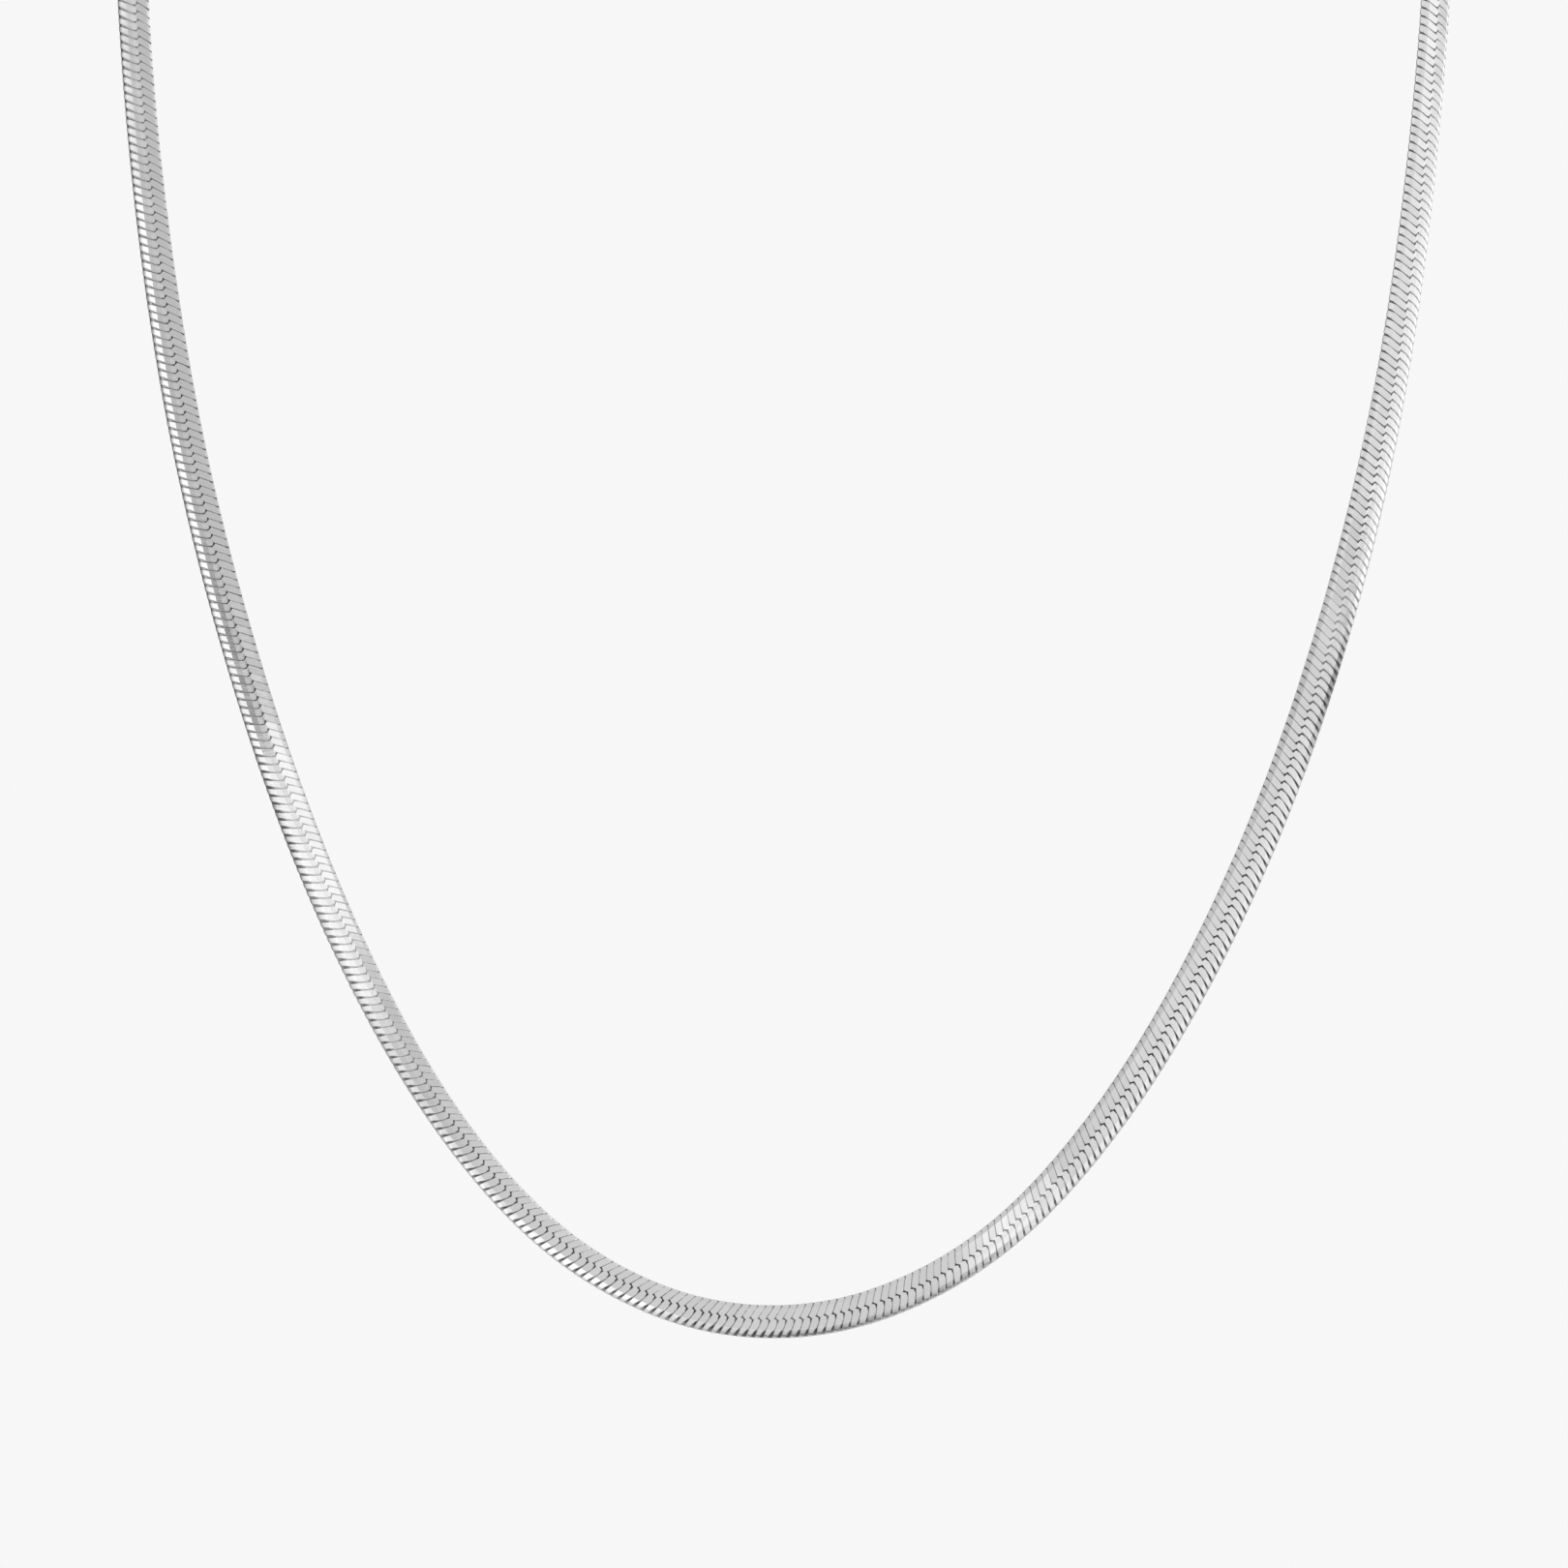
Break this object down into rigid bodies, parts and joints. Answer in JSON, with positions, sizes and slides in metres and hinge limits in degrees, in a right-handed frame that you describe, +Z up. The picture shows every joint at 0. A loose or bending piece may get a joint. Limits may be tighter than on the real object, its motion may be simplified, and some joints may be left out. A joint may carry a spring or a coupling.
{
  "type": "herringbone chain necklace",
  "caption": "Flat silver-tone herringbone chain necklace in a long open U, closed at the nape by a small clasp with crimped end caps.",
  "frame": {"origin": "centre of the neck opening, at the level where the loop is widest, midway between the front drape and the nape", "axes": "+X to the right seen from the front, +Y backwards to the clasp, +Z up along the neck"},
  "size_m": [0.1129, 0.0719, 0.1668],
  "materials": {
    "chain_metal": "polished silver, flat pressed links",
    "findings_metal": "polished silver"
  },
  "bodies": {
    "root": {"chain": "chain_metal", "end_cap_left": "findings_metal", "end_cap_right": "findings_metal", "clasp": "findings_metal", "clasp_ring": "findings_metal"}
  },
  "joints": []
}
